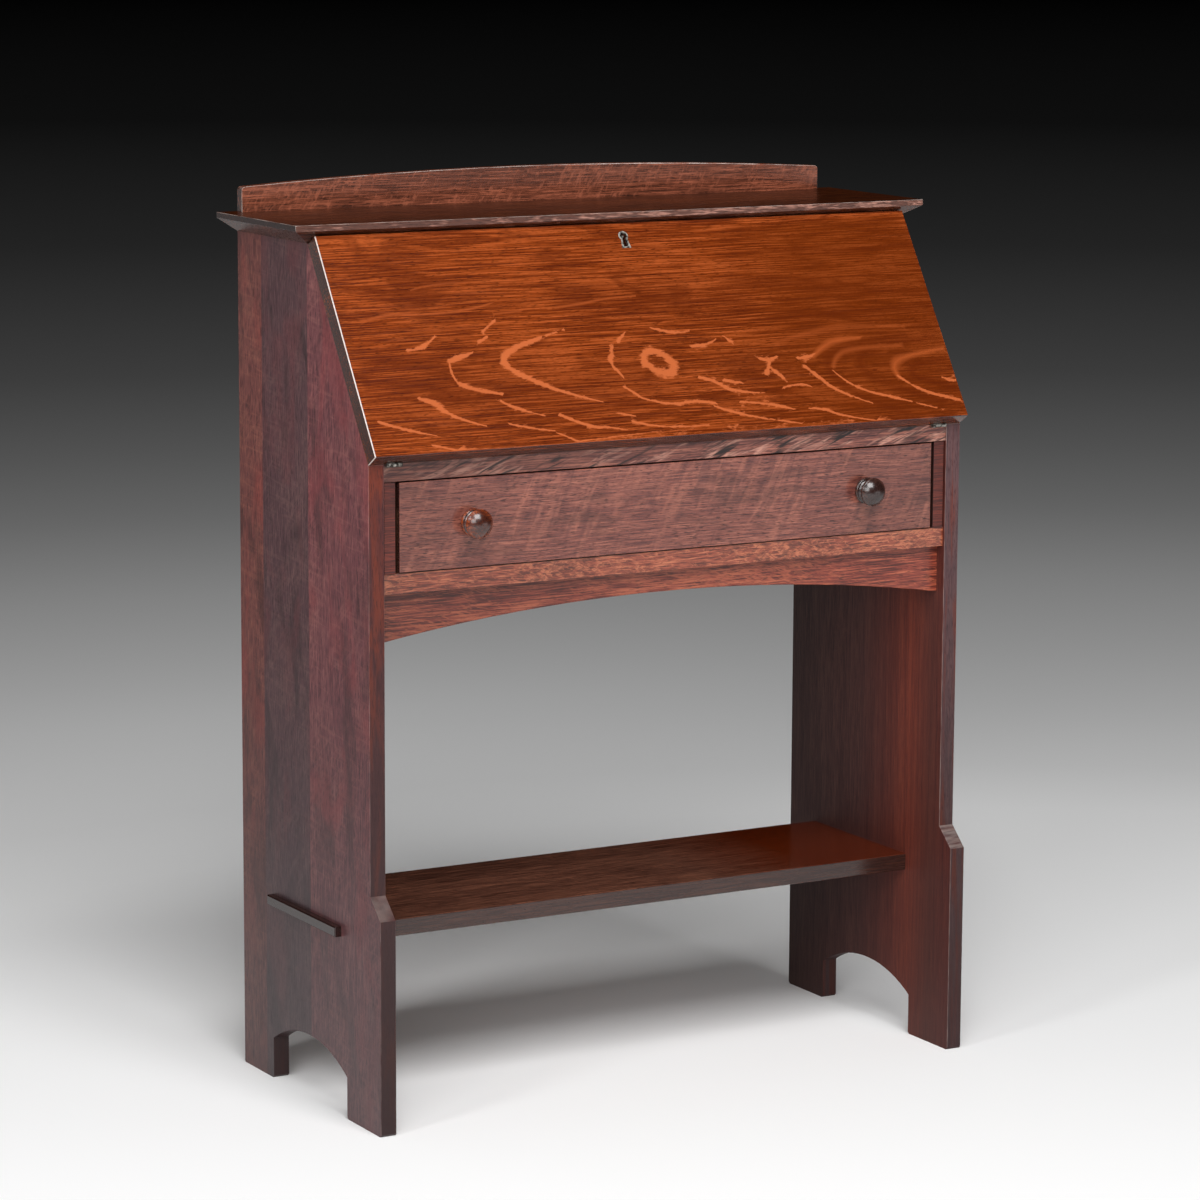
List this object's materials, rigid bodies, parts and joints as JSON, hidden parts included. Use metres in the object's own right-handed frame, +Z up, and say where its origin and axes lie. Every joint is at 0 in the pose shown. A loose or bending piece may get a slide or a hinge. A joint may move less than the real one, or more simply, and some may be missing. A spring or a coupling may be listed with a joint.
{
  "type": "drop-front desk",
  "caption": "Narrow oak writing desk with a sloping drop front, one long drawer, pull-out supports, a low shelf and slab sides with arched feet.",
  "frame": {"origin": "on the floor, in the middle of the desk's width and depth", "axes": "+Z up, -Y towards the sitter, +X to the sitter's right"},
  "size_m": [0.8126, 0.35, 1.0257],
  "materials": {
    "oak_sides": "aged satin polish",
    "oak_fall": "aged satin polish",
    "oak_drawer": "aged satin polish",
    "oak_top": "aged gloss polish",
    "inner_wood": "bare planed wood",
    "turned_wood": "gloss polish",
    "aged_steel": "dull, worn"
  },
  "bodies": {
    "case": {"side_panel_left": "oak_sides", "side_panel_right": "oak_sides", "shelf": "oak_sides", "writing_bed": "oak_drawer", "drawer_rail": "oak_drawer", "apron": "oak_drawer", "top_board": "oak_top", "gallery_rail": "oak_top", "back_board_left": "inner_wood", "back_board_middle": "inner_wood", "back_board_right": "inner_wood", "rear_rail": "inner_wood", "pigeonhole_shelf": "inner_wood", "drawer_runner_left": "inner_wood", "drawer_runner_right": "inner_wood", "guide_strip_left": "inner_wood", "guide_strip_right": "inner_wood", "loper_stop_left": "inner_wood", "loper_stop_right": "inner_wood", "drawer_stop_left": "inner_wood", "drawer_stop_right": "inner_wood", "apron_block_left": "inner_wood", "apron_block_right": "inner_wood", "top_cleat_left": "inner_wood", "top_cleat_right": "inner_wood", "pigeonhole_divider_1": "inner_wood", "pigeonhole_divider_2": "inner_wood", "pigeonhole_divider_3": "inner_wood", "pigeonhole_divider_4": "inner_wood", "back_screws": "aged_steel", "top_cleat_screws": "aged_steel", "lock_keeper": "aged_steel", "keeper_screws": "aged_steel", "hinge_bed_screws": "aged_steel", "hinge_bed_leaf_left": "aged_steel", "hinge_bed_leaf_right": "aged_steel", "hinge_pin_left": "aged_steel", "hinge_pin_right": "aged_steel"},
    "fall": {"fall_board": "oak_fall", "hinge_fall_leaf_left": "aged_steel", "hinge_fall_leaf_right": "aged_steel", "hinge_fall_screws": "aged_steel", "lock_case": "aged_steel", "lock_screws": "aged_steel", "escutcheon": "aged_steel"},
    "bolt": {"lock_bolt": "aged_steel"},
    "drawer": {"drawer_front": "oak_drawer", "drawer_side_left": "inner_wood", "drawer_side_right": "inner_wood", "drawer_back": "inner_wood", "drawer_bottom": "inner_wood", "drawer_knob_left": "turned_wood", "drawer_knob_right": "turned_wood"},
    "left_support": {"loper_left": "inner_wood", "loper_peg_left": "inner_wood"},
    "right_support": {"loper_right": "inner_wood", "loper_peg_right": "inner_wood"}
  },
  "joints": [
    {"name": "fall_hinge", "type": "hinge", "parent": "case", "child": "fall", "pos_m": [0, -0.1505, 0.7375], "axis": [1, 0, 0], "range_deg": [0, 122.75]},
    {"name": "drawer_slide", "type": "slide", "parent": "case", "child": "drawer", "axis": [0, -1, 0], "range_m": [0, 0.23]},
    {"name": "left_support_slide", "type": "slide", "parent": "case", "child": "left_support", "axis": [0, -1, 0], "range_m": [0, 0.205]},
    {"name": "right_support_slide", "type": "slide", "parent": "case", "child": "right_support", "axis": [0, -1, 0], "range_m": [0, 0.205]},
    {"name": "bolt_slide", "type": "slide", "parent": "fall", "child": "bolt", "axis": [0, 0.541, 0.841], "range_m": [0, 0.007]}
  ]
}
